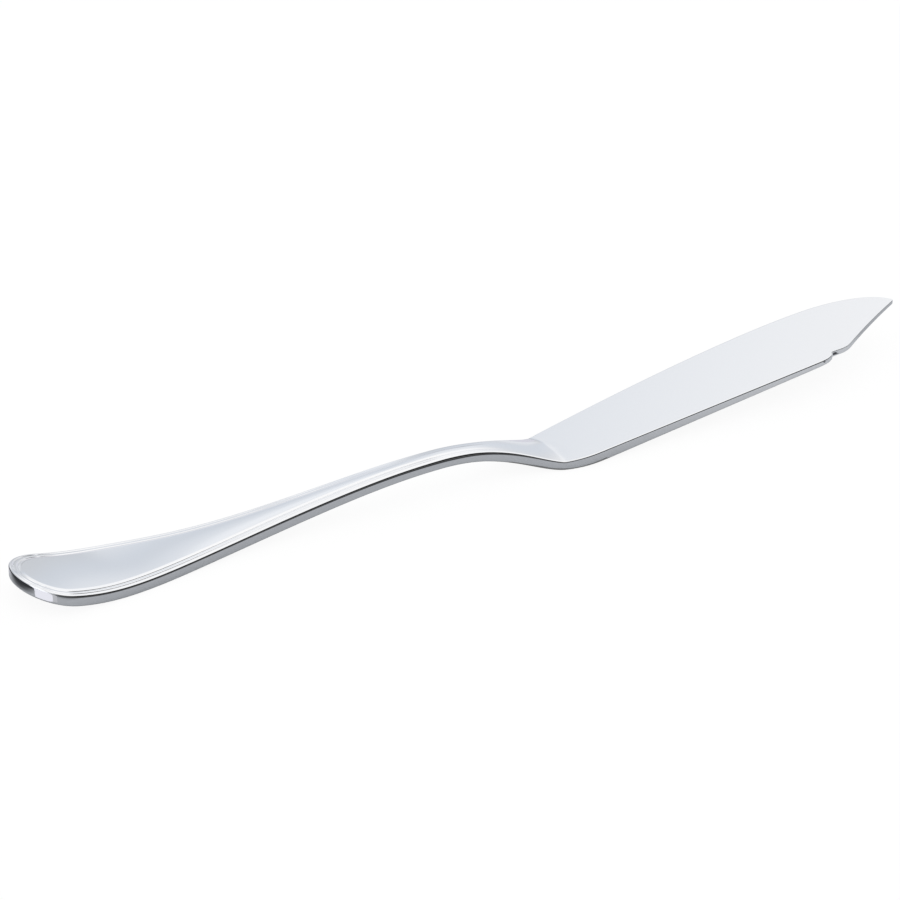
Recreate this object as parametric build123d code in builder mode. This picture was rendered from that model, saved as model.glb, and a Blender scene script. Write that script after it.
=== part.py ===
"""Fish knife stamped and forged from one piece of stainless steel, lying on a table as after use.

Millimetres, +Z up, +X from the tail of the handle to the tip of the blade. The origin is on the table,
under the middle of the knife's bounding box. The spine is on the -Y side, the long curved edge on the
+Y side. Sizes below are given from the tail's end, along the handle's axis, and up from the table.
"""
from build123d import *
import os
from math import cos, radians, sin, tan

# Whole knife
overall_length = 205.0
heel_place = 117.0  # where the neck ends and the blade's end lies on the table
run_past = 2.0  # how far sketches and cutters run past the metal

# Handle, seen from above: a round tail drawn in to a slim neck
tail_radius = 9.25
tail_flow = 24.2  # how far the tail keeps its width
neck_flow = 64.8  # how far the neck's slimness reaches back
neck_setback = 20.0  # how far the slimmest place lies behind the heel
neck_half_width = 2.44

# Shoulder, where the neck opens into the blade
near_flare = 15.2
near_shoulder_flow = 10.4
far_flare = 13.8
far_shoulder_flow = 2.5
far_shoulder_angle = 22.7
corner_half_width = 6.38  # corner over the heel, where the curved edge starts

# Blade, seen from above
spine_start = 7.6  # how far past the heel the straight spine starts
spine_half_width = 7.2
spine_angle = 4.3
notch_setback = 22.3  # from the notch's foot to the tip's end
notch_depth = 2.1
notch_run = 4.1
ledge_length = 4.0
ledge_rounding = 2.0
slant_end_angle = 26.5
tip_half_width = 9.9  # the tip's distance from the handle's axis
tip_radius = 0.6
edge_start_angle = 12.7
edge_start_flow = 18.9
widest_setback = 17.9  # from the widest place to the tip's end
widest_half_width = 16.92
widest_flow = 17.3
front_flow = 6.4
tip_flow = 5.7
tip_angle = 65.0

# Side view: the tail's end turned up, an arched handle, a cranked neck and a rising blade
tail_lift = 4.1
tail_slope_angle = 21.0
tail_end_flow = 9.4
belly_place = 25.7  # where the handle lies on the table
belly_flow = 10.3
arch_start_flow = 24.5
crest_setback = 25.6  # how far the arch's top lies behind the heel
crest_height = 5.34
crest_flow = 20.2
crank_flow = 12.6
heel_flow = 5.6
heel_bend_radius = 105.0
crease_angle = 9.0  # how steeply the neck's top meets the blade
blade_rise_angle = 5.6

# Thickness of the metal
tail_thickness = 2.4
belly_thickness = 2.2
neck_thickness = 1.82
heel_thickness = 1.98
tip_thickness = 0.86

# Crown of the handle's top, from edge to middle
tail_crown = 0.25
neck_crown = 0.45

# Threaded border and raised panel on the handle's top
border_width = 2.6
panel_raise = 0.12
panel_end_setback = 23.0
panel_end_half_width = 0.5
outer_thread_inset = 0.75  # from the handle's side to a thread's groove
inner_thread_inset = 1.65
thread_width = 0.42
thread_depth = 0.12
thread_end_setback = 17.0
thread_end_width = 0.14
outer_thread_end_half_width = 1.6
inner_thread_end_half_width = 1.0

# Rims of the handle and of the spine, rounded by the polishing
top_rim_radius = 0.4
back_rim_radius = 0.4

# Places along the handle of the sections that shape its top, as shares of the way to the heel
section_shares = (0.06, 0.12, 0.22, 0.34, 0.46, 0.58, 0.7, 0.78, 0.86, 0.93, 0.97, 1)


def on_curve(points, share):
    """Point of a cubic Bezier curve at a share of its parameter."""
    left = 1 - share
    weights = (left**3, 3 * left**2 * share, 3 * left * share**2, share**3)
    return tuple(sum(w * p[i] for w, p in zip(weights, points)) for i in (0, 1))


def height_over(curves, place):
    """Second coordinate, at one place, of a row of cubic Bezier curves that runs along the first."""
    points = next((c for c in curves if place <= c[3][0]), curves[-1])
    low, high = 0.0, 1.0
    for _ in range(60):
        middle = (low + high) / 2
        if on_curve(points, middle)[0] < place:
            low = middle
        else:
            high = middle
    return on_curve(points, low)[1]


# Places along the knife, from the tail's end
neck_place = heel_place - neck_setback
crest_place = heel_place - crest_setback
panel_end_place = heel_place - panel_end_setback
thread_end_place = heel_place - thread_end_setback
spine_place = heel_place + spine_start
widest_place = overall_length - widest_setback
tail_slope = tan(radians(tail_slope_angle))


# Side view of the handle: the same three curves for the back and, lifted by the metal's thickness, the top
def side_curves(tail, belly, neck, heel, end_angle):
    """Curves from the tail's end to the heel, lifted by one thickness at each of four places."""
    tail_drop = tail_slope * tail_end_flow
    heel_rise = tan(radians(end_angle)) * heel_flow
    return (
        (
            (0, tail_lift + tail),
            (tail_end_flow, tail_lift - tail_drop + tail),
            (belly_place - belly_flow, belly),
            (belly_place, belly),
        ),
        (
            (belly_place, belly),
            (belly_place + arch_start_flow, belly),
            (crest_place - crest_flow, crest_height + neck),
            (crest_place, crest_height + neck),
        ),
        (
            (crest_place, crest_height + neck),
            (crest_place + crank_flow, crest_height + neck),
            (heel_place - heel_flow, heel + heel_rise),
            (heel_place, heel),
        ),
    )


back_curves = side_curves(0, 0, 0, 0, 0)
top_curves = side_curves(tail_thickness, belly_thickness, neck_thickness, heel_thickness, crease_angle)


# Half width of the handle along its axis, and of what lies within its border
def inset_curve(inset, end_place, end_half_width):
    """Curve from the tail's round end toward the neck, drawn in from the handle's side."""
    return (
        (tail_radius, tail_radius - inset),
        (tail_radius + tail_flow, tail_radius - inset),
        (neck_place - neck_flow, end_half_width),
        (end_place, end_half_width),
    )


side_curve = inset_curve(0, neck_place, neck_half_width)
panel_curve = inset_curve(border_width, panel_end_place, panel_end_half_width)
spine_slope = tan(radians(spine_angle))
near_curve = (
    (neck_place, neck_half_width),
    (neck_place + near_flare, neck_half_width),
    (spine_place - near_shoulder_flow, spine_half_width + near_shoulder_flow * spine_slope),
    (spine_place, spine_half_width),
)

# The frame's origin is under the middle of the knife, so the handle's axis lies to the spine's side of it
axis_offset = (tail_radius - widest_half_width) / 2
corner = Vector(-overall_length / 2, axis_offset, 0)
plan = Plane(origin=corner - Vector(0, 0, run_past))
side = Plane(origin=corner, x_dir=(1, 0, 0), z_dir=(0, -1, 0))
full_height = tail_lift + crest_height + overall_length * tan(radians(blade_rise_angle))


def top_section(place):
    """Half width, height of the rim and crown of the handle's top, a little wider than the handle."""
    inside = max(place, 0)
    rim = height_over(top_curves, inside) + (inside - place) * tail_slope
    half = height_over((side_curve, near_curve), place) if place > tail_radius else tail_radius
    crown = tail_crown + (neck_crown - tail_crown) * min(1, inside / crest_place)
    crown *= min(1, (heel_place - place) / (heel_place - crest_place))
    return half + run_past, rim, crown


# What is pressed away over the handle, which leaves its top crowned: from behind the tail to the heel
with BuildPart() as handle_die:
    for place in [-run_past] + [share * heel_place for share in section_shares]:
        half, rim, crown = top_section(place)
        middle = rim + crown * 4 / 3
        with BuildSketch(Plane(origin=corner + Vector(place, 0, 0), x_dir=(0, 1, 0), z_dir=(1, 0, 0))):
            with BuildLine():
                Bezier((-half, rim), (-half / 3, middle), (half / 3, middle), (half, rim))
                Polyline((half, rim), (half, full_height), (-half, full_height), (-half, rim))
            make_face()
    loft()

# The raised panel on the handle: its bottom lies inside the metal
panel_radius = tail_radius - border_width
with BuildPart() as panel:
    with BuildSketch(plan):
        with BuildLine():
            ThreePointArc(
                (tail_radius, panel_radius),
                (border_width, 0),
                (tail_radius, -panel_radius),
            )
            Bezier(*[(x, -y) for x, y in panel_curve])
            ThreePointArc(
                (panel_end_place, -panel_end_half_width),
                (panel_end_place + panel_end_half_width, 0),
                (panel_end_place, panel_end_half_width),
            )
            Bezier(*reversed(panel_curve))
        make_face()
    extrude(amount=full_height)
    add(handle_die.part.moved(Location((0, 0, -neck_thickness / 2))), mode=Mode.INTERSECT)
    add(handle_die.part.moved(Location((0, 0, panel_raise))), mode=Mode.SUBTRACT)


# The two grooves that form the threads of the border: open toward the neck, where they grow narrow
with BuildPart() as threads:
    for inset, end_half_width in (
        (outer_thread_inset, outer_thread_end_half_width),
        (inner_thread_inset, inner_thread_end_half_width),
    ):
        outer = inset_curve(inset, thread_end_place, end_half_width)
        inner = inset_curve(inset + thread_width, thread_end_place, end_half_width - thread_end_width)
        with BuildSketch(plan):
            with BuildLine():
                Bezier(*reversed(outer))
                ThreePointArc(outer[0], (inset, 0), (tail_radius, -outer[0][1]))
                Bezier(*[(x, -y) for x, y in outer])
                Line((thread_end_place, -outer[-1][1]), (thread_end_place, -inner[-1][1]))
                Bezier(*[(x, -y) for x, y in reversed(inner)])
                ThreePointArc((tail_radius, -inner[0][1]), (inset + thread_width, 0), inner[0])
                Bezier(*inner)
                Line(inner[-1], outer[-1])
            make_face()
        extrude(amount=full_height)
    add(handle_die.part.moved(Location((0, 0, -thread_depth))), mode=Mode.INTERSECT)

# The knife's outline, seen from above
spine_length = overall_length - notch_setback - notch_run - spine_place
spine_end = (spine_place + spine_length, spine_length * spine_slope - spine_half_width)
notch_foot = (spine_end[0] + notch_run, spine_end[1] + notch_depth)
ledge_end = (notch_foot[0] + ledge_length, notch_foot[1])
tip_centre = Vector(overall_length - tip_radius, tip_half_width)
slant_turn = Vector(cos(radians(slant_end_angle)), sin(radians(slant_end_angle)))
slant_end = tip_centre + Vector(slant_turn.Y, -slant_turn.X) * tip_radius
front_turn = Vector(-cos(radians(tip_angle)), sin(radians(tip_angle)))
front_end = tip_centre + Vector(front_turn.Y, -front_turn.X) * tip_radius
edge_corner = Vector(heel_place, corner_half_width)
edge_turn = Vector(cos(radians(edge_start_angle)), sin(radians(edge_start_angle)))
flare_turn = Vector(cos(radians(far_shoulder_angle)), sin(radians(far_shoulder_angle)))

with BuildSketch(plan) as outline:
    with BuildLine():
        tail = ThreePointArc((tail_radius, tail_radius), (0, 0), (tail_radius, -tail_radius))
        near_side = Bezier(*[(x, -y) for x, y in side_curve])
        near_shoulder = Bezier(*[(x, -y) for x, y in near_curve])
        spine = Line(near_shoulder @ 1, spine_end)
        notch = TangentArc(spine @ 1, notch_foot, tangent=spine % 1)
        ledge = Line(notch @ 1, ledge_end)
        slant = TangentArc(slant_end, ledge_end, tangent=-slant_turn)
        tip = ThreePointArc(slant_end, tip_centre + Vector(tip_radius, 0), front_end)
        front = Bezier(
            front_end,
            front_end + front_turn * tip_flow,
            (widest_place + front_flow, widest_half_width),
            (widest_place, widest_half_width),
        )
        belly = Bezier(
            (widest_place, widest_half_width),
            (widest_place - widest_flow, widest_half_width),
            edge_corner + edge_turn * edge_start_flow,
            edge_corner,
        )
        far_shoulder = Bezier(
            edge_corner,
            edge_corner - flare_turn * far_shoulder_flow,
            (neck_place + far_flare, neck_half_width),
            (neck_place, neck_half_width),
        )
        far_side = Bezier(*reversed(side_curve))
    make_face()
    fillet(outline.vertices().sort_by_distance(ledge_end)[0], radius=ledge_rounding)

# The blade's side view: a bend at the heel, then a straight back and a straight top that taper to the tip
blade_slope = tan(radians(blade_rise_angle))
bend_end = (
    heel_place + heel_bend_radius * sin(radians(blade_rise_angle)),
    heel_bend_radius * (1 - cos(radians(blade_rise_angle))),
)
back_end = bend_end[1] + (overall_length - bend_end[0]) * blade_slope
top_slope = (back_end + tip_thickness - heel_thickness) / (overall_length - heel_place)
past_tip = overall_length + run_past
level_share = 0.9  # how far up or down a face looks that counts as the knife's top or back
middle_share = 0.5


def soft_rims(faces):
    """Rims round the handle and along the spine to the notch's foot. The blade's others stay crisp."""
    edges = [edge for face in faces for edge in face.edges()]
    rims = [edge for edge in edges if edges.count(edge) == 1]
    middles = [edge @ middle_share - corner for edge in rims]
    return [
        edge
        for edge, middle in zip(rims, middles)
        if middle.X < heel_place or (middle.Y < 0 and middle.X < notch_foot[0])
    ]


with BuildPart() as fish_knife:
    add(outline.sketch)
    extrude(amount=full_height + run_past)
    with BuildSketch(side):
        with BuildLine():
            tail_run = Line((-run_past, tail_lift + run_past * tail_slope), (0, tail_lift))
            back = [Bezier(*curve) for curve in back_curves]
            bend = TangentArc(back[-1] @ 1, bend_end, tangent=(1, 0))
            Polyline(
                bend @ 1,
                (past_tip, back_end + run_past * blade_slope),
                (past_tip, heel_thickness + (past_tip - heel_place) * top_slope),
                (heel_place, heel_thickness),
                (heel_place, full_height),
                (-run_past, full_height),
                tail_run @ 0,
            )
        make_face()
    extrude(amount=widest_half_width + run_past, both=True, mode=Mode.INTERSECT)
    add(handle_die.part, mode=Mode.SUBTRACT)
    fillet(soft_rims(faces().filter_by(lambda face: face.normal_at().Z < -level_share)), back_rim_radius)
    fillet(soft_rims(faces().filter_by(lambda face: face.normal_at().Z > level_share)), top_rim_radius)
    add(panel.part)
    add(threads.part, mode=Mode.SUBTRACT)

fish_knife.part.label = "fish_knife"
os.makedirs("parts", exist_ok=True)
export_step(fish_knife.part, "parts/fish_knife.step")
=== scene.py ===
"""The fish knife in polished stainless steel, on a white studio table.

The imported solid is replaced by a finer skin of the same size: rounded rims, a border of two threads
pressed into the handle's top, a raised panel, a crowned handle and a soft crease at the heel.
"""

import bpy
import numpy as np
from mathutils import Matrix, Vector


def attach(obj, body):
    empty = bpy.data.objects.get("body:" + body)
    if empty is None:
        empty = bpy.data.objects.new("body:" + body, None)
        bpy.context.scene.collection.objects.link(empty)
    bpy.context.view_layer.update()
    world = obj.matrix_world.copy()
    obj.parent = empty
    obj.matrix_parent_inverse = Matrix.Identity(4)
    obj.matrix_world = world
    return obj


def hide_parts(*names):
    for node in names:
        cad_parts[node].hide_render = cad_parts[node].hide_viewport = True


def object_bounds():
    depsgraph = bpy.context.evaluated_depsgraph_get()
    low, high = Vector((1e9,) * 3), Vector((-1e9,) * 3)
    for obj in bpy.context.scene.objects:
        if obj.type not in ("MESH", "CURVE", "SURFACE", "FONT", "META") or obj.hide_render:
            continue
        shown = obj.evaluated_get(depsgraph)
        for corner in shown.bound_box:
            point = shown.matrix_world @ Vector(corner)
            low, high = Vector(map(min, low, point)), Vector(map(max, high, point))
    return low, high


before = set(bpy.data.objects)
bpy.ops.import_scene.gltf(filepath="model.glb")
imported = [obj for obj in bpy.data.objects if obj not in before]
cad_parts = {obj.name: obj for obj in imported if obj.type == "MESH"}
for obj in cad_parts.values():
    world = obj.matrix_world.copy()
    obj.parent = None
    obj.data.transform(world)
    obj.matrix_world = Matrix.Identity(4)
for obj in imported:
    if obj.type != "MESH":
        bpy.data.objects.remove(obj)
cad_low, cad_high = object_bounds()

mm = 0.001

# Plan of the knife, in millimetres: from the tail's end along the handle's axis, and from that axis
overall_length = 205.0
tail_radius = 9.25
tail_flow = 24.2
neck_flow = 64.8
neck_place = 97.0
neck_half_width = 2.44
near_flare = 15.2
near_shoulder_flow = 10.4
far_flare = 4.6
far_shoulder_flow = 4.2
far_shoulder_angle = 36.0
corner_place = 114.3
corner_half_width = 5.8
spine_place = 124.6
spine_half_width = 7.2
spine_angle = 4.3
spine_length = 54.0
notch_depth = 2.1
notch_run = 4.1
notch_flow = 2.8
notch_foot_angle = 87.0
notch_foot_flow = 1.1
notch_foot_radius = 0.15
ledge_length = 4.0
ledge_rounding = 5.0
slant_end_angle = 26.5
tip_half_width = 9.9
tip_radius = 0.6
edge_start_angle = 12.6
edge_start_flow = 26.3
widest_place = 187.1
widest_half_width = 16.92
widest_flow = 17.3
front_flow = 6.4
tip_flow = 5.7
tip_angle = 65.0

# Side view, in millimetres up from the table
tail_lift = 4.1
tail_slope_angle = 21.0
tail_end_flow = 9.4
belly_place = 25.7
belly_flow = 10.3
arch_start_flow = 24.5
crest_place = 91.4
crest_height = 5.34
crest_flow = 20.2
crank_flow = 12.6
heel_place = 117.0
heel_flow = 5.6
heel_bend_radius = 105.0
crease_angle = 9.0
blade_rise_angle = 5.6
tail_thickness = 2.4
belly_thickness = 2.2
neck_thickness = 1.82
heel_thickness = 1.98
tip_thickness = 0.86

# Crown of the handle's top, from edge to middle, over a width that runs past the handle's sides
tail_crown = 0.25
tail_to_middle = (30.0, 62.0)  # places along the knife between which the crown changes
middle_crown = 0.52
middle_to_neck = (74.0, 92.0)
neck_crown = 0.45
crown_overrun = 2.0

# The crease between neck and blade: it bows toward the handle at both edges, and is softer at the near one
crease_middle = -1.5
crease_bow_near = 0.03
crease_bow_far = 0.0012
crease_softness_near = 0.12
crease_softness_far = 0.05
crease_softening = (-5.0, 0.0)  # places across the knife between which the softness changes
crease_dent = 0.03
crease_dent_length = 0.8

# Rims, at places along the knife
rim_places = (0, 30, 80, 94, 108, 117, 130)
top_rim_radii = (0.5, 0.56, 0.6, 0.7, 0.5, 0.34, 0.24)
back_rim_radius = 0.4
far_rim_radius = 0.3  # along the blade's curved edge
far_rim_facing = 0.3  # how far a side has to face +Y for that radius
edge_rim_radius = 0.13  # along the notch and the slanted end
most_of_thickness = 0.4  # what share of the metal a rim may take
most_of_handle = 0.52
most_of_reach = 0.5

# Border of the handle's top, as insets from the side at the tail. It grows narrower toward the neck
rim_inset = 0.65  # where the border's profile starts
outer_thread_inset = 0.95
inner_thread_inset = 1.85
thread_half_width = 0.22
thread_depth = 0.155
bevel_start = 1.95
bevel_end = 2.65
panel_raise = 0.12
border_end = 2.85
neck_border_share = 0.7
narrowing_power = 1.5
blade_border_share = 0.25
blade_border_run = 2.0  # from the heel to where the blade's share holds
most_border_reach = 0.85
fade_start = 88.0
fade_end = 106.0
far_thread_fade_start = 44.0
far_thread_fade_end = 78.0
far_thread_facing = (-0.2, 0.4)  # how far the sides face +Y between the near threads and the far ones

# How finely the skin is divided, with its spacings along the knife in millimetres
curve_steps = 600
rim_steps = 8
wall_steps = 3
middle_steps = 12
back_steps = 8
tail_spokes = 72
tip_spokes = 10
handle_spacing = 0.7
crank_spacing = 0.35
spine_spacing = 0.9
notch_spacing = 0.25
slant_spacing = 0.45
rings_before_threads = 2
rings_on_thread = 11
rings_between_threads = 3
rings_after_threads = 8

# The steel: how much of each colour it mirrors, and its grain
steel_mirror = np.array([0.844, 0.858, 0.868])
steel_colour = (0.83, 0.845, 0.865)
steel_roughness = (0.05, 0.10)
grain_scale = (40, 2600, 2600)
grain_detail = 3.0
grain_strength = 0.02
grain_height = 0.00002  # metres

# The table: its white, and the greys of painted shade that the steel mirrors, with the places in millimetres
# where they blend
table_reach = 12.0  # metres
table_drop = 0.00002  # metres
paper_colour = (0.9, 0.9, 0.9)
paper_glow = 1.02
paper_glow_share = 0.9
front_painted_shade = (0.46, 0.47, 0.49)
right_painted_shade = (0.62, 0.63, 0.65)
behind_painted_shade = (0.757, 0.75, 0.816)
farther_painted_shade = (0.04, 0.042, 0.045)
right_start = (0, 80)
right_end = (98, 106)
behind_start = (5, 13)
farther_start = (-18, -23)
past_tail_start = (-104.2, -110.2)
past_tail_lean = -0.24

# Cards on the table that only the steel mirrors, with painted light and shade: corners in millimetres, and
# colour
table_cards = {
    # The corner between the handle's side and its tail mirrors these two: a painted patch of lit table, and
    # a painted grey one beside it
    "painted_light_card": (((-105.5, -10), (-199.5, -24.8), (-158.5, -91.8), (-101, -15.3)), (0.95, 0.94, 1)),
    "painted_grey_card": (((-101, -15.3), (-158.5, -91.8), (-141, -95), (-99.4, -15.9)), (0.56, 0.56, 0.58)),
    # The notch's corner mirrors this one: a dark sheet of painted shade, as of the table under the blade
    "notch_painted_shade_card": (((87, -13.9), (88.7, -13.9), (89.2, -16.9), (87, -16.9)), (0.05, 0.05, 0.055)),
    # The heel's lower rim mirrors this one: the painted contact shadow on the table under the heel
    "heel_painted_shadow_card": (
        ((4, -11.4), (8.5, -11.1), (11.5, -10.7), (15, -11.1), (19, -11.8), (24, -12.1), (26, -4), (2, -4)),
        (0.18, 0.18, 0.18),
    ),
}
card_height = 0.00001  # metres

# The tent: its size, and its grey levels from 0 to 255 over angles in degrees
tent_radius = 3.0  # metres
tent_around = 360
tent_upward = 90
tent_top_angle = 89.5
slant_zero = 33.0  # the elevation that counts as no slant
slant_turn = 24.0  # the azimuth past which the slant grows
slant_growth = 1.4
tent_slants = (-12, -8.5, -6, -3.5, -1.8, 0, 3.4, 8.5, 14, 26)
tent_levels = (236, 233, 221, 213, 211, 220, 230, 239, 244, 248)
blue_slants = (-8.5, -6, -3.5, 0, 3.4, 8, 10)
blue_levels = (8, 11, 14, 12, 8, 5, 3)
blue_tint = np.array([-0.42, 0, 0.58])
blue_loss = 0.7
tail_slants = (-8, -3.5, 0, 1)
tail_levels = (203, 210, 222, 255)
neck_elevations = (3, 6, 12, 20, 32)
neck_levels = (225, 213, 218, 235, 248)
lighter_band = 8
darker_left = 24
darker_foot = 22
white_level = 252
darker_roof = 34
roof_blue = 4
right_level = 135
left_level = 80
strip_level = 262
dark_elevations = (8, 12, 17, 21)
dark_levels = (66, 95, 95, 25)
dark_least = 85

# The photo's view
camera_elevation = 28.7
camera_heading = 29.303
camera_distance = 0.9  # metres
camera_target = (-0.001996, 0.007953, 0.000252)  # metres
camera_sensor = 36
camera_lens = 180.5


def bezier(points, steps=curve_steps):
    """Points along a cubic Bezier curve."""
    t = np.linspace(0, 1, steps + 1)[:, None]
    a, b, c, d = np.array(points, float)
    return (1 - t) ** 3 * a + 3 * (1 - t) ** 2 * t * b + 3 * (1 - t) * t**2 * c + t**3 * d


def turn(degrees):
    """Unit vector at an angle from +X."""
    return np.array([np.cos(np.radians(degrees)), np.sin(np.radians(degrees))])


def rise(value, low, high):
    """0 below the low value, 1 above the high one, smooth between."""
    t = np.clip((value - low) / (high - low), 0, 1)
    return t * t * (3 - 2 * t)


def fall(value, low, high):
    """1 below the low value, 0 above the high one, smooth between."""
    return rise(-value, -high, -low)


def arc(start, end, start_turn, steps=curve_steps):
    """Points along the circular arc that leaves a start along a direction and ends at an end."""
    start, end = np.array(start, float), np.array(end, float)
    chord = end - start
    half_angle = np.arctan2(start_turn[0] * chord[1] - start_turn[1] * chord[0], chord @ start_turn)
    side = np.array([-start_turn[1], start_turn[0]])
    radius = np.hypot(*chord) / 2 / np.sin(half_angle)
    centre = start + side * radius
    sweep = np.linspace(0, 2 * half_angle, steps + 1)[:, None]
    return centre + radius * (start_turn * np.sin(sweep) - side * np.cos(sweep))


def rounded(before, after, radius):
    """Two lines of points that meet at a corner, with the corner rounded."""
    point = before[-1]
    into = (point - before[-2]) / np.hypot(*(point - before[-2]))
    out = (after[1] - after[0]) / np.hypot(*(after[1] - after[0]))
    bend = np.arccos(np.clip(into @ out, -1, 1))
    reach = radius * np.tan(bend / 2)
    start, end = point - into * reach, point + out * reach
    round_part = arc(start, end, into, rim_steps * 2)
    before = before[(point - before) @ into > reach]
    after = after[(after - point) @ out > reach]
    return np.vstack([before, round_part, after])


# Half width of the handle along its axis
side_line = bezier(
    [
        (tail_radius, tail_radius),
        (tail_radius + tail_flow, tail_radius),
        (neck_place - neck_flow, neck_half_width),
        (neck_place, neck_half_width),
    ]
)
spine_slope = np.tan(np.radians(spine_angle))
near_shoulder = bezier(
    [
        (neck_place, neck_half_width),
        (neck_place + near_flare, neck_half_width),
        (spine_place - near_shoulder_flow, spine_half_width + near_shoulder_flow * spine_slope),
        (spine_place, spine_half_width),
    ]
)

# Corners of the blade's plan
spine_end = np.array([spine_place + spine_length, spine_length * spine_slope - spine_half_width])
notch_foot = spine_end + (notch_run, notch_depth)
ledge_end = notch_foot + (ledge_length, 0)
tip_centre = np.array([overall_length - tip_radius, tip_half_width])
slant_end = tip_centre + tip_radius * turn(slant_end_angle - 90)
front_end = tip_centre + tip_radius * turn(90 - tip_angle)
front_turn = turn(180 - tip_angle)
corner = np.array([corner_place, corner_half_width])
flip = np.array([1, -1])

# Near and far side of the whole knife, from the tail's sides to the tip
notch = bezier(
    [
        spine_end,
        spine_end + turn(spine_angle) * notch_flow,
        notch_foot - turn(notch_foot_angle) * notch_foot_flow,
        notch_foot,
    ]
)
ledge = np.linspace(notch_foot, ledge_end, curve_steps + 1)
slant_line = arc(slant_end, ledge_end, -turn(slant_end_angle))[::-1]
near_line = np.vstack(
    [
        side_line * flip,
        near_shoulder[1:] * flip,
        np.linspace(near_shoulder[-1] * flip, spine_end, curve_steps)[1:],
        rounded(notch, rounded(ledge, slant_line, ledge_rounding), notch_foot_radius)[1:],
    ]
)
far_line = np.vstack(
    [
        side_line,
        bezier(
            [
                (neck_place, neck_half_width),
                (neck_place + far_flare, neck_half_width),
                corner - turn(far_shoulder_angle) * far_shoulder_flow,
                corner,
            ]
        )[1:],
        bezier(
            [
                corner,
                corner + turn(edge_start_angle) * edge_start_flow,
                (widest_place - widest_flow, widest_half_width),
                (widest_place, widest_half_width),
            ]
        )[1:],
        bezier(
            [
                (widest_place, widest_half_width),
                (widest_place + front_flow, widest_half_width),
                front_end + front_turn * tip_flow,
                front_end,
            ]
        )[1:],
    ]
)
near_half = np.vstack([[(0, tail_radius)], near_line[near_line[:, 0] < spine_place] * flip])


def side_view(tail, belly, neck, heel, end_angle):
    """The handle's back, lifted by one thickness at each of four places."""
    tail_drop = np.tan(np.radians(tail_slope_angle)) * tail_end_flow
    heel_rise = np.tan(np.radians(end_angle)) * heel_flow
    rows = [
        [
            (0, tail_lift + tail),
            (tail_end_flow, tail_lift - tail_drop + tail),
            (belly_place - belly_flow, belly),
            (belly_place, belly),
        ],
        [
            (belly_place, belly),
            (belly_place + arch_start_flow, belly),
            (crest_place - crest_flow, crest_height + neck),
            (crest_place, crest_height + neck),
        ],
        [
            (crest_place, crest_height + neck),
            (crest_place + crank_flow, crest_height + neck),
            (heel_place - heel_flow, heel + heel_rise),
            (heel_place, heel),
        ],
    ]
    return np.vstack([bezier(row)[1:] if i else bezier(row) for i, row in enumerate(rows)])


# Back and top of the handle from the tail's end to the heel, and of the blade after it
back_line = side_view(0, 0, 0, 0, 0)
top_line = side_view(tail_thickness, belly_thickness, neck_thickness, heel_thickness, crease_angle)
crank_length = heel_place - crest_place
blade_slope = np.tan(np.radians(blade_rise_angle))
bend_end = heel_place + heel_bend_radius * np.sin(np.radians(blade_rise_angle))
bend_rise = heel_bend_radius * (1 - np.cos(np.radians(blade_rise_angle)))
back_end = bend_rise + (overall_length - bend_end) * blade_slope
top_slope = (back_end + tip_thickness - heel_thickness) / (overall_length - heel_place)


def back_height(x):
    """Height of the knife's back along it."""
    on_bend = np.clip(x - heel_place, 0, bend_end - heel_place)
    bent = heel_bend_radius - np.sqrt(heel_bend_radius**2 - on_bend**2)
    blade = bent + np.maximum(x - bend_end, 0) * blade_slope
    return np.where(x < heel_place, np.interp(x, *back_line.T), blade)


def top_height(x, y):
    """Height of the knife's top: the crowned handle and the flat blade, with a soft crease between them."""
    aside = y - crease_middle
    bow = np.where(aside < 0, crease_bow_near * aside**2, crease_bow_far * aside**4)
    bow = bow * np.clip((x - crest_place) / crank_length, 0, 1) ** 2
    along = x + bow
    handle = np.interp(along, *top_line.T)
    handle -= np.maximum(along - heel_place, 0) * np.tan(np.radians(crease_angle))
    half = np.interp(x, *near_half.T) + crown_overrun
    crown = tail_crown + (middle_crown - tail_crown) * rise(x, *tail_to_middle)
    crown = crown + (neck_crown - middle_crown) * rise(x, *middle_to_neck)
    crown = crown * np.clip((heel_place - x) / crank_length, 0, 1)
    handle += crown * (1 - np.clip(y / half, -1, 1) ** 2)
    blade = heel_thickness + (x - heel_place) * top_slope
    softer = crease_softness_far - crease_softness_near
    softness = crease_softness_near + softer * rise(y, *crease_softening)
    fold = softness * np.clip(1 - np.abs(x - heel_place) / crank_length, 0, 1)
    dent = crease_dent * np.exp(-(((along - heel_place) / crease_dent_length) ** 2))
    return (handle + blade + np.sqrt((handle - blade) ** 2 + fold**2)) / 2 - dent


def stations():
    """Places along the knife where it is cut across, from the tail's centre to the tip."""
    slant_start = ledge_end[0] + ledge_rounding
    stretches = [
        (tail_radius, neck_place, handle_spacing),
        (neck_place, heel_place, crank_spacing),
        (heel_place, spine_end[0], spine_spacing),
        (spine_end[0], notch_foot[0], notch_spacing),
        (notch_foot[0], slant_start, notch_spacing),
        (slant_start, slant_end[0], slant_spacing),
    ]
    rows = []
    along = np.concatenate([[0], np.cumsum(np.hypot(*np.diff(near_line, axis=0).T))])
    for start, end, spacing in stretches:
        first, last = np.interp((start, end), near_line[:, 0], along)
        lengths = np.linspace(first, last, round((last - first) / spacing) + 1)[1:]
        rows.append(np.interp(lengths, along, near_line[:, 0]))
    return np.concatenate([[tail_radius], *rows])


def outward(points):
    """Outward normals of a line of points that runs with the metal on its right."""
    along = np.diff(points, axis=0)
    along /= np.hypot(*along.T)[:, None]
    ahead = np.vstack([along, along[-1:]])
    behind = np.vstack([along[:1], along])
    mean = ahead + behind
    mean /= np.hypot(*mean.T)[:, None]
    return np.column_stack([-mean[:, 1], mean[:, 0]])


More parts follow.
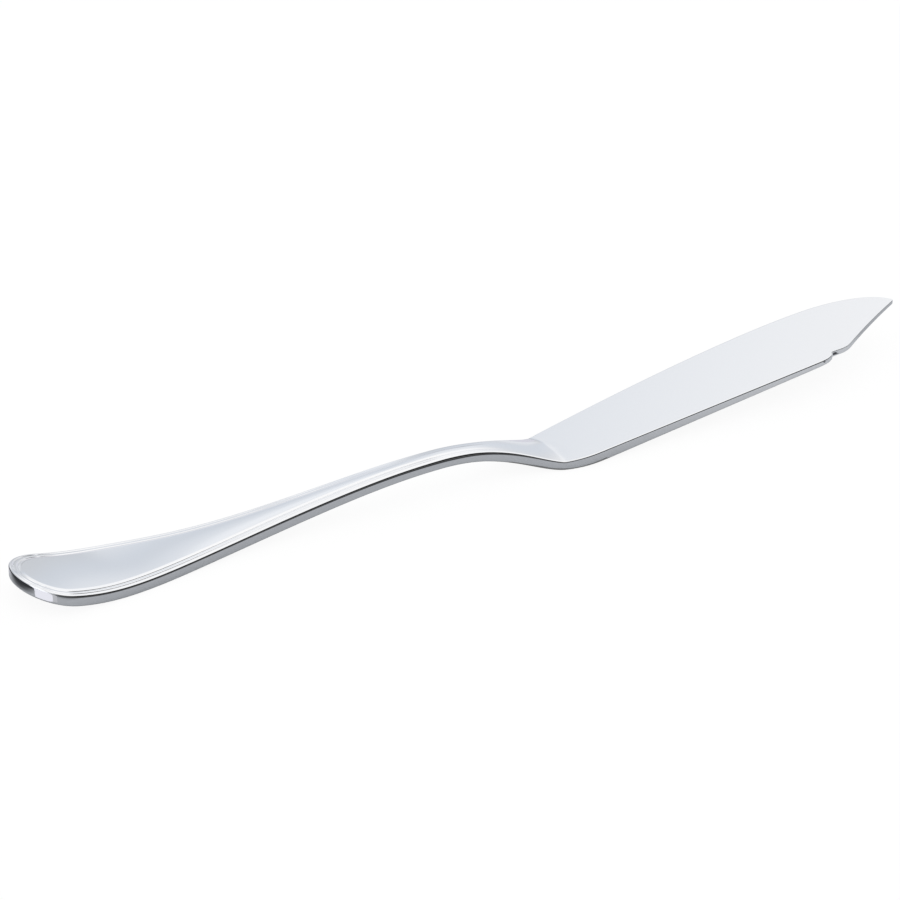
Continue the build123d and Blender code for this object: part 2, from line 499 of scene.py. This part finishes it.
def knife_spokes():
    """The outline's points in a ring, their outward normals, and the middle points that spokes run to."""
    near_x = stations()
    start = ledge_end[0] + ledge_rounding
    stretched = start + (near_x - start) * (front_end[0] - start) / (slant_end[0] - start)
    far_x = np.where(near_x > start, stretched, near_x)
    near = np.column_stack([near_x, np.interp(near_x, *near_line.T)])
    far = np.column_stack([far_x, np.interp(far_x, *far_line.T)])
    middle = (near + far) / 2
    tail_angles = np.linspace(-90, 90, tail_spokes + 1)[1:-1]
    tail_centre = np.array([tail_radius, 0])
    tail = np.array([tail_centre - tail_radius * flip * turn(a) for a in tail_angles])
    tip_angles = np.linspace(90 - tip_angle, slant_end_angle - 90, tip_spokes + 1)[1:-1]
    tip = np.array([tip_centre + tip_radius * turn(a) for a in tip_angles])
    ring = np.vstack([near[::-1], tail, far, tip])
    closed = np.vstack([ring[-1:], ring, ring[:1]])
    normal = outward(closed)[1:-1]
    count = len(near)
    target = np.concatenate(
        [
            np.arange(count)[::-1],
            np.zeros(len(tail), int),
            np.arange(count),
            np.full(len(tip), count - 1),
        ]
    )
    return ring, normal, middle, target


def rims_and_border(ring, normal, reach):
    """Along the outline: the radii of the top and back rims, and the border's width against the tail's."""
    x = ring[:, 0]
    narrowing = np.interp(x, side_line[:, 0], np.linspace(0, 1, len(side_line)) ** narrowing_power)
    share = 1 - (1 - neck_border_share) * narrowing
    on_blade = np.clip((x - heel_place) / blade_border_run, 0, 1)
    share = share + (blade_border_share - neck_border_share) * on_blade
    soft = (x < heel_place) | ((ring[:, 1] < 0) & (x < notch_foot[0]))
    thick = top_height(*ring.T) - back_height(x)
    most = np.minimum(thick * most_of_thickness, reach * most_of_reach)
    crisp = np.where(normal[:, 1] > far_rim_facing, far_rim_radius, edge_rim_radius)
    radius = np.where(soft, np.interp(x, rim_places, top_rim_radii), crisp)
    radius = np.minimum(radius, np.where(x < heel_place, thick * most_of_handle, most))
    back_radius = np.minimum(np.where(soft, back_rim_radius, edge_rim_radius), most)
    share = np.minimum(share, (reach * most_border_reach - radius) / (border_end - rim_inset))
    return radius, back_radius, share


def border_insets():
    """Insets of the rings that carry the border's profile, closer where it bends."""
    across = thread_half_width * np.linspace(-1, 1, rings_on_thread)
    outer = outer_thread_inset + across
    inner = inner_thread_inset + across
    rows = [
        np.linspace(rim_inset, outer[0], rings_before_threads + 2)[1:-1],
        outer,
        np.linspace(outer[-1], inner[0], rings_between_threads + 2)[1:-1],
        inner,
        np.linspace(inner[-1], border_end, rings_after_threads + 1)[1:],
    ]
    return np.concatenate(rows)


def between(steps):
    """Parts of a way from 0 to 1, without its ends."""
    return np.linspace(0, 1, steps + 1)[1:-1]


def skin_faces(layer_count, target, centres):
    """Faces between the layers of the ring's points, and from the outer layers to the middle points."""
    count = len(target)
    following = np.roll(np.arange(count), -1)
    faces = []
    for row in range(layer_count - 1):
        low, high = row * count, (row + 1) * count
        for i, j in zip(range(count), following):
            faces.append((low + i, low + j, high + j, high + i))
    last = (layer_count - 1) * count
    first_below = layer_count * count
    first_above = first_below + centres
    for i, j in zip(range(count), following):
        for inner, row, flipped in ((first_below, 0, True), (first_above, last, False)):
            face = [row + i, row + j, inner + target[j], inner + target[i]]
            if target[i] == target[j]:
                face.pop()
            faces.append(tuple(face[::-1] if flipped else face))
    return faces


def knife_skin():
    """The knife's points and faces, and each point's inset in the border and share of its forms."""
    ring, normal, middle, target = knife_spokes()
    count, centres = len(ring), len(middle)
    reach = np.hypot(*(middle[target] - ring).T)
    radius, back_radius, share = rims_and_border(ring, normal, reach)
    quarter_turn = [np.radians(90 * i / rim_steps) for i in range(rim_steps + 1)]
    layers, insets = [], []

    def layer(points, height, inset):
        layers.append(np.column_stack([points, height]))
        insets.append(np.broadcast_to(inset, count))

    # From the back's middle out to the rim, up the wall, and over the top to the middle again
    back_rim = ring - normal * back_radius[:, None]
    for part in between(back_steps)[::-1]:
        points = back_rim + (middle[target] - back_rim) * part
        layer(points, back_height(points[:, 0]), 0)
    for angle in quarter_turn[::-1]:
        points = ring - normal * (back_radius * (1 - np.cos(angle)))[:, None]
        layer(points, back_height(points[:, 0]) + back_radius * (1 - np.sin(angle)), 0)
    low = layers[-1][:, 2]
    high = top_height(*ring.T) - radius
    for part in between(wall_steps):
        layer(ring, low + (high - low) * part, 0)
    for angle in quarter_turn:
        inward = 1 - np.cos(angle)
        points = ring - normal * (radius * inward)[:, None]
        layer(points, top_height(*points.T) - radius * (1 - np.sin(angle)), rim_inset * inward)
    for inset in border_insets():
        wide = radius + (inset - rim_inset) * share
        points = ring - normal * wide[:, None]
        layer(points, top_height(*points.T), inset)
    rim = layers[-1][:, :2]
    for part in between(middle_steps):
        points = rim + (middle[target] - rim) * part
        layer(points, top_height(*points.T), border_end)
    below = np.column_stack([middle, back_height(middle[:, 0])])
    above = np.column_stack([middle, top_height(*middle.T)])
    points = np.vstack([*layers, below, above])
    x = points[:, 0]

    def on_every_layer(values):
        return np.concatenate([np.tile(values, len(layers)), np.zeros(2 * centres)])

    inset = np.concatenate([*insets, np.zeros(centres), np.full(centres, border_end)])
    press = 1 - rise(x, fade_start, fade_end)
    far_side = on_every_layer(rise(normal[:, 1], *far_thread_facing))
    thread = press * (1 - far_side * rise(x, far_thread_fade_start, far_thread_fade_end))
    thread = thread * on_every_layer(share)
    faces = skin_faces(len(layers), target, centres)
    return points, faces, {"inset": inset * mm, "press": press, "thread": thread}


def body_mesh():
    """The knife's skin as a mesh in the frame, with the border's values as attributes."""
    points, faces, values = knife_skin()
    axis_offset = (tail_radius - widest_half_width) / 2
    points = points * mm + (cad_low.x, axis_offset * mm, cad_low.z)
    mesh = bpy.data.meshes.new("fish_knife_skin")
    mesh.from_pydata(points.tolist(), [], faces)
    for name, value in values.items():
        mesh.attributes.new(name, "FLOAT", "POINT").data.foreach_set("value", value)
    mesh.polygons.foreach_set("use_smooth", [True] * len(mesh.polygons))
    mesh.update()
    return mesh


def border_tree():
    """Geometry nodes that press two threads into the handle's top and raise the panel within them."""
    tree = bpy.data.node_groups.new("threaded_border", "GeometryNodeTree")
    face = tree.interface
    face.new_socket("Geometry", in_out="INPUT", socket_type="NodeSocketGeometry")
    thread_sizes = ("Outer thread", "Inner thread", "Thread half width", "Thread depth")
    for name in (*thread_sizes, "Bevel start", "Bevel end", "Panel raise"):
        face.new_socket(name, in_out="INPUT", socket_type="NodeSocketFloat")
    face.new_socket("Steel", in_out="INPUT", socket_type="NodeSocketMaterial")
    face.new_socket("Geometry", in_out="OUTPUT", socket_type="NodeSocketGeometry")
    node = tree.nodes.new
    link = tree.links.new
    given = node("NodeGroupInput").outputs

    def feed(socket, value):
        """Give a socket a number or another node's result."""
        if isinstance(value, (int, float)):
            socket.default_value = value
        else:
            link(value, socket)

    def attribute(name):
        read = node("GeometryNodeInputNamedAttribute")
        read.data_type = "FLOAT"
        read.inputs["Name"].default_value = name
        return read.outputs["Attribute"]

    def maths(operation, *values):
        done = node("ShaderNodeMath")
        done.operation = operation
        for socket, value in zip(done.inputs, values):
            feed(socket, value)
        return done.outputs[0]

    def smooth_rise(value, start, end):
        """From 0 at the start to 1 at the end."""
        spread = node("ShaderNodeMapRange")
        spread.interpolation_type = "SMOOTHSTEP"
        for name, source in (("Value", value), ("From Min", start), ("From Max", end)):
            feed(spread.inputs[name], source)
        return spread.outputs["Result"]

    inset = attribute("inset")
    bevel = smooth_rise(inset, given["Bevel start"], given["Bevel end"])
    profile = maths("MULTIPLY", bevel, given["Panel raise"])
    profile = maths("MULTIPLY", profile, attribute("press"))
    for thread in ("Outer thread", "Inner thread"):
        away = maths("ABSOLUTE", maths("SUBTRACT", inset, given[thread]))
        off = smooth_rise(away, 0.0, given["Thread half width"])
        groove = maths("MULTIPLY", maths("SUBTRACT", 1.0, off), given["Thread depth"])
        profile = maths("SUBTRACT", profile, maths("MULTIPLY", groove, attribute("thread")))
    lift = node("ShaderNodeCombineXYZ")
    link(profile, lift.inputs["Z"])
    move = node("GeometryNodeSetPosition")
    link(given["Geometry"], move.inputs["Geometry"])
    link(lift.outputs[0], move.inputs["Offset"])
    real = node("GeometryNodeRealizeInstances")
    link(move.outputs[0], real.inputs[0])
    cover = node("GeometryNodeSetMaterial")
    link(real.outputs[0], cover.inputs["Geometry"])
    link(given["Steel"], cover.inputs["Material"])
    link(cover.outputs[0], node("NodeGroupOutput").inputs[0])
    return tree


def plain_mesh(piece, tree, values):
    """The piece's mesh after a tree of geometry nodes has worked on it."""
    modifier = piece.modifiers.new(tree.name, "NODES")
    modifier.node_group = tree
    for item in tree.interface.items_tree:
        if item.in_out == "INPUT" and item.name in values:
            modifier[item.identifier] = values[item.name]
    bpy.context.view_layer.update()
    done = piece.evaluated_get(bpy.context.evaluated_depsgraph_get())
    mesh = bpy.data.meshes.new_from_object(done)
    piece.modifiers.clear()
    return mesh


def polished_steel():
    """Stainless steel polished along its length: near mirror, faint lines, a slightly uneven gloss."""
    material = bpy.data.materials.new("polished_steel")
    material.use_nodes = True
    nodes, links = material.node_tree.nodes, material.node_tree.links
    shader = nodes["Principled BSDF"]
    shader.inputs["Metallic"].default_value = 1.0
    shader.inputs["Base Color"].default_value = (*steel_colour, 1)
    place = nodes.new("ShaderNodeTexCoord").outputs["Object"]
    stretch = nodes.new("ShaderNodeMapping")
    stretch.inputs["Scale"].default_value = grain_scale
    links.new(place, stretch.inputs["Vector"])
    lines = nodes.new("ShaderNodeTexNoise")
    lines.inputs["Scale"].default_value = 1.0
    lines.inputs["Detail"].default_value = grain_detail
    links.new(stretch.outputs[0], lines.inputs["Vector"])
    gloss = nodes.new("ShaderNodeMapRange")
    gloss.inputs["To Min"].default_value, gloss.inputs["To Max"].default_value = steel_roughness
    links.new(lines.outputs["Fac"], gloss.inputs["Value"])
    links.new(gloss.outputs["Result"], shader.inputs["Roughness"])
    bump = nodes.new("ShaderNodeBump")
    bump.inputs["Strength"].default_value = grain_strength
    bump.inputs["Distance"].default_value = grain_height
    links.new(lines.outputs["Fac"], bump.inputs["Height"])
    links.new(bump.outputs[0], shader.inputs["Normal"])
    return material


def flat_card(name, colour):
    """A plain material that gives off one colour."""
    material = bpy.data.materials.new(name)
    material.use_nodes = True
    nodes = material.node_tree.nodes
    nodes.clear()
    glow = nodes.new("ShaderNodeEmission")
    glow.inputs["Color"].default_value = (*colour, 1)
    end = nodes.new("ShaderNodeOutputMaterial")
    material.node_tree.links.new(glow.outputs[0], end.inputs["Surface"])
    return material


def table_paper():
    """White paper to the camera, with a trace of shadow. The steel mirrors it in greys of painted shade."""
    material = bpy.data.materials.new("table_paper")
    material.use_nodes = True
    nodes, links = material.node_tree.nodes, material.node_tree.links
    nodes.clear()
    shaded = nodes.new("ShaderNodeBsdfDiffuse")
    shaded.inputs["Color"].default_value = (*paper_colour, 1)
    white = nodes.new("ShaderNodeEmission")
    white.inputs["Strength"].default_value = paper_glow
    place = nodes.new("ShaderNodeSeparateXYZ")
    links.new(nodes.new("ShaderNodeTexCoord").outputs["Object"], place.inputs[0])
    along, across = place.outputs["X"], place.outputs["Y"]
    past_tail = nodes.new("ShaderNodeMath")
    past_tail.operation = "MULTIPLY_ADD"
    past_tail.inputs[1].default_value = past_tail_lean
    links.new(across, past_tail.inputs[0])
    links.new(along, past_tail.inputs[2])

    def blend(under, colour, value, start, end):
        """Cover one colour with another where a value goes from a start to an end."""
        ramp = nodes.new("ShaderNodeMapRange")
        ramp.interpolation_type = "SMOOTHSTEP"
        ramp.inputs["From Min"].default_value = start * mm
        ramp.inputs["From Max"].default_value = end * mm
        links.new(value, ramp.inputs["Value"])
        mix = nodes.new("ShaderNodeMix")
        mix.data_type = "RGBA"
        mix.inputs["B"].default_value = (*colour, 1)
        links.new(ramp.outputs["Result"], mix.inputs["Factor"])
        if isinstance(under, tuple):
            mix.inputs["A"].default_value = (*under, 1)
        else:
            links.new(under, mix.inputs["A"])
        return mix.outputs["Result"]

    # Painted shade on the table that only reflections see, over its real shading: grey in front, paler to
    # the right and behind, dark farther in front and past the tail
    tone = blend(front_painted_shade, right_painted_shade, along, *right_start)
    tone = blend(tone, front_painted_shade, along, *right_end)
    tone = blend(tone, behind_painted_shade, across, *behind_start)
    tone = blend(tone, farther_painted_shade, across, *farther_start)
    tone = blend(tone, farther_painted_shade, past_tail.outputs[0], *past_tail_start)
    mirrored = nodes.new("ShaderNodeBsdfDiffuse")
    links.new(tone, mirrored.inputs["Color"])
    path = nodes.new("ShaderNodeLightPath")
    share = nodes.new("ShaderNodeMath")
    share.operation = "MULTIPLY"
    share.inputs[1].default_value = paper_glow_share
    links.new(path.outputs["Is Camera Ray"], share.inputs[0])
    seen = nodes.new("ShaderNodeMixShader")
    links.new(share.outputs[0], seen.inputs["Fac"])
    links.new(shaded.outputs[0], seen.inputs[1])
    links.new(white.outputs[0], seen.inputs[2])
    both = nodes.new("ShaderNodeMixShader")
    links.new(path.outputs["Is Glossy Ray"], both.inputs["Fac"])
    links.new(seen.outputs[0], both.inputs[1])
    links.new(mirrored.outputs[0], both.inputs[2])
    links.new(both.outputs[0], nodes.new("ShaderNodeOutputMaterial").inputs["Surface"])
    return material


def studio_world():
    """Plain white light from everywhere."""
    world = bpy.data.worlds.new("studio")
    bpy.context.scene.world = world
    world.use_nodes = True
    light = world.node_tree.nodes["Background"]
    light.inputs["Color"].default_value = (1, 1, 1, 1)
    light.inputs["Strength"].default_value = 1.0


def toward(value, other, share):
    """A value moved toward another one by a share of the way."""
    return value + (other - value) * share


def linear(display):
    """The linear colour of a display colour, both from 0 to 1."""
    return np.where(display < 0.04045, display / 12.92, ((display + 0.055) / 1.055) ** 2.4)


def tent_glow(azimuth, elevation):
    """The tent's linear colour in each direction, in degrees from +Y toward +X and up from the table."""
    slant = elevation - slant_zero + slant_growth * np.maximum(azimuth - slant_turn, 0)
    level = np.interp(slant, tent_slants, tent_levels)
    blue = np.interp(slant, blue_slants, blue_levels)
    # Ahead of the camera: what the tops of the tail, the neck and the blade mirror
    by_tail = np.minimum(level, np.interp(slant, tail_slants, tail_levels))
    level = toward(level, by_tail, rise(azimuth, 22.5, 26.5))
    level = level + lighter_band * rise(slant, 1.7, 3.2) * fall(slant, 4.5, 7) * fall(azimuth, 24, 25.5)
    by_neck = np.interp(elevation, neck_elevations, neck_levels)
    level = toward(level, by_neck, rise(azimuth, 34.5, 37))
    level = level - darker_left * fall(azimuth, 2, 12)
    level = level - darker_foot * fall(elevation, 7, 14) * fall(azimuth, 30, 33)
    # White above that, and a pale grey roof
    above = rise(elevation, 50, 58)
    roof = rise(elevation, 71, 80)
    level = toward(level, white_level, above) - darker_roof * roof
    blue = blue * (1 - above) + roof_blue * roof
    # The camera's side is dark, grey beside that, and a bright strip stands to its left
    bearing = azimuth % 360
    dark_end = 192 + 20 * fall(elevation, 16, 20)
    dark = rise(bearing, 112, 120) * fall(bearing - dark_end, -4, 4) * fall(elevation, 46, 52)
    right = rise(bearing, 76, 84) * fall(bearing, 112, 120) * fall(elevation, 36, 44)
    left = rise(bearing, 262, 268) * fall(bearing, 345, 352) * fall(elevation, 8, 16)
    strip = rise(bearing, 214, 220) * fall(bearing, 258, 262)
    tone = np.interp(elevation, dark_elevations, dark_levels)
    tone = toward(tone, np.maximum(tone, dark_least), rise(bearing, 156, 170))
    for other, share in ((right_level, right), (tone, dark), (left_level, left), (strip_level, strip)):
        level = toward(level, other, share)
    blue = blue * (1 - blue_loss * dark) * (1 - blue_loss * left)
    return linear((level[..., None] + blue[..., None] * blue_tint) / 255) / steel_mirror


def light_tent():
    """A dome round the knife that only its reflections show."""
    turns = np.linspace(-180, 180, tent_around + 1)[:-1]
    azimuth, elevation = np.meshgrid(turns, np.linspace(0, tent_top_angle, tent_upward + 1))
    flat = tent_radius * np.cos(np.radians(elevation))
    points = np.stack(
        [
            flat * np.sin(np.radians(azimuth)),
            flat * np.cos(np.radians(azimuth)),
            tent_radius * np.sin(np.radians(elevation)),
        ],
        axis=-1,
    ).reshape(-1, 3)
    faces = []
    for row in range(tent_upward):
        low, high = row * tent_around, (row + 1) * tent_around
        for i in range(tent_around):
            following = (i + 1) % tent_around
            faces.append((low + i, low + following, high + following, high + i))
    faces.append(tuple(range(tent_upward * tent_around, (tent_upward + 1) * tent_around)))
    mesh = bpy.data.meshes.new("light_tent")
    mesh.from_pydata(points.tolist(), [], faces)
    glow = np.ones((len(points), 4))
    glow[:, :3] = tent_glow(azimuth, elevation).reshape(-1, 3)
    mesh.attributes.new("glow", "FLOAT_COLOR", "POINT").data.foreach_set("color", glow.ravel())
    material = flat_card("tent_cloth", (1, 1, 1))
    nodes = material.node_tree.nodes
    read = nodes.new("ShaderNodeAttribute")
    read.attribute_name = "glow"
    material.node_tree.links.new(read.outputs["Color"], nodes["Emission"].inputs["Color"])
    mesh.materials.append(material)
    mirrored_only("light_tent", mesh)


def mirrored_only(name, mesh):
    """A piece of the studio that the steel's reflections show and nothing else does."""
    card = bpy.data.objects.new(name, mesh)
    bpy.context.collection.objects.link(card)
    card.visible_camera = False
    card.visible_diffuse = False
    card.visible_shadow = False


def table_card(name, corners, colour):
    """A card that lies on the table."""
    mesh = bpy.data.meshes.new(name)
    mesh.from_pydata([(x * mm, y * mm, card_height) for x, y in corners], [], [range(len(corners))])
    mesh.materials.append(flat_card(name, colour))
    mirrored_only(name, mesh)


def table_top():
    """The table, wide enough for every view."""
    mesh = bpy.data.meshes.new("table_top")
    corners = [(x * table_reach, y * table_reach, 0) for x, y in ((-1, -1), (1, -1), (1, 1), (-1, 1))]
    mesh.from_pydata(corners, [], [(0, 1, 2, 3)])
    mesh.materials.append(table_paper())
    table = bpy.data.objects.new("table_top", mesh)
    bpy.context.collection.objects.link(table)
    table.location.z = -table_drop


def photo_camera():
    """The photograph's view: from the handle's side, a little above, through a long lens."""
    elevation, heading = np.radians(camera_elevation), np.radians(camera_heading)
    look = Vector(
        (
            np.sin(heading) * np.cos(elevation),
            np.cos(heading) * np.cos(elevation),
            -np.sin(elevation),
        )
    )
    data = bpy.data.cameras.new("photo_camera")
    data.sensor_width = camera_sensor
    data.lens = camera_lens
    camera = bpy.data.objects.new("photo_camera", data)
    bpy.context.collection.objects.link(camera)
    camera.location = Vector(camera_target) - look * camera_distance
    camera.rotation_euler = look.to_track_quat("-Z", "Y").to_euler()
    bpy.context.scene.camera = camera


bpy.context.scene.view_settings.view_transform = "Standard"
photo_camera()
studio_world()
table_top()
light_tent()
for card_name, (card_corners, card_colour) in table_cards.items():
    table_card(card_name, card_corners, card_colour)

steel = polished_steel()
knife = bpy.data.objects.new("fish_knife_body", body_mesh())
bpy.context.collection.objects.link(knife)
knife.data = plain_mesh(
    knife,
    border_tree(),
    {
        "Outer thread": outer_thread_inset * mm,
        "Inner thread": inner_thread_inset * mm,
        "Thread half width": thread_half_width * mm,
        "Thread depth": thread_depth * mm,
        "Bevel start": bevel_start * mm,
        "Bevel end": bevel_end * mm,
        "Panel raise": panel_raise * mm,
        "Steel": steel,
    },
)
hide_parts("fish_knife")
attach(knife, "root")
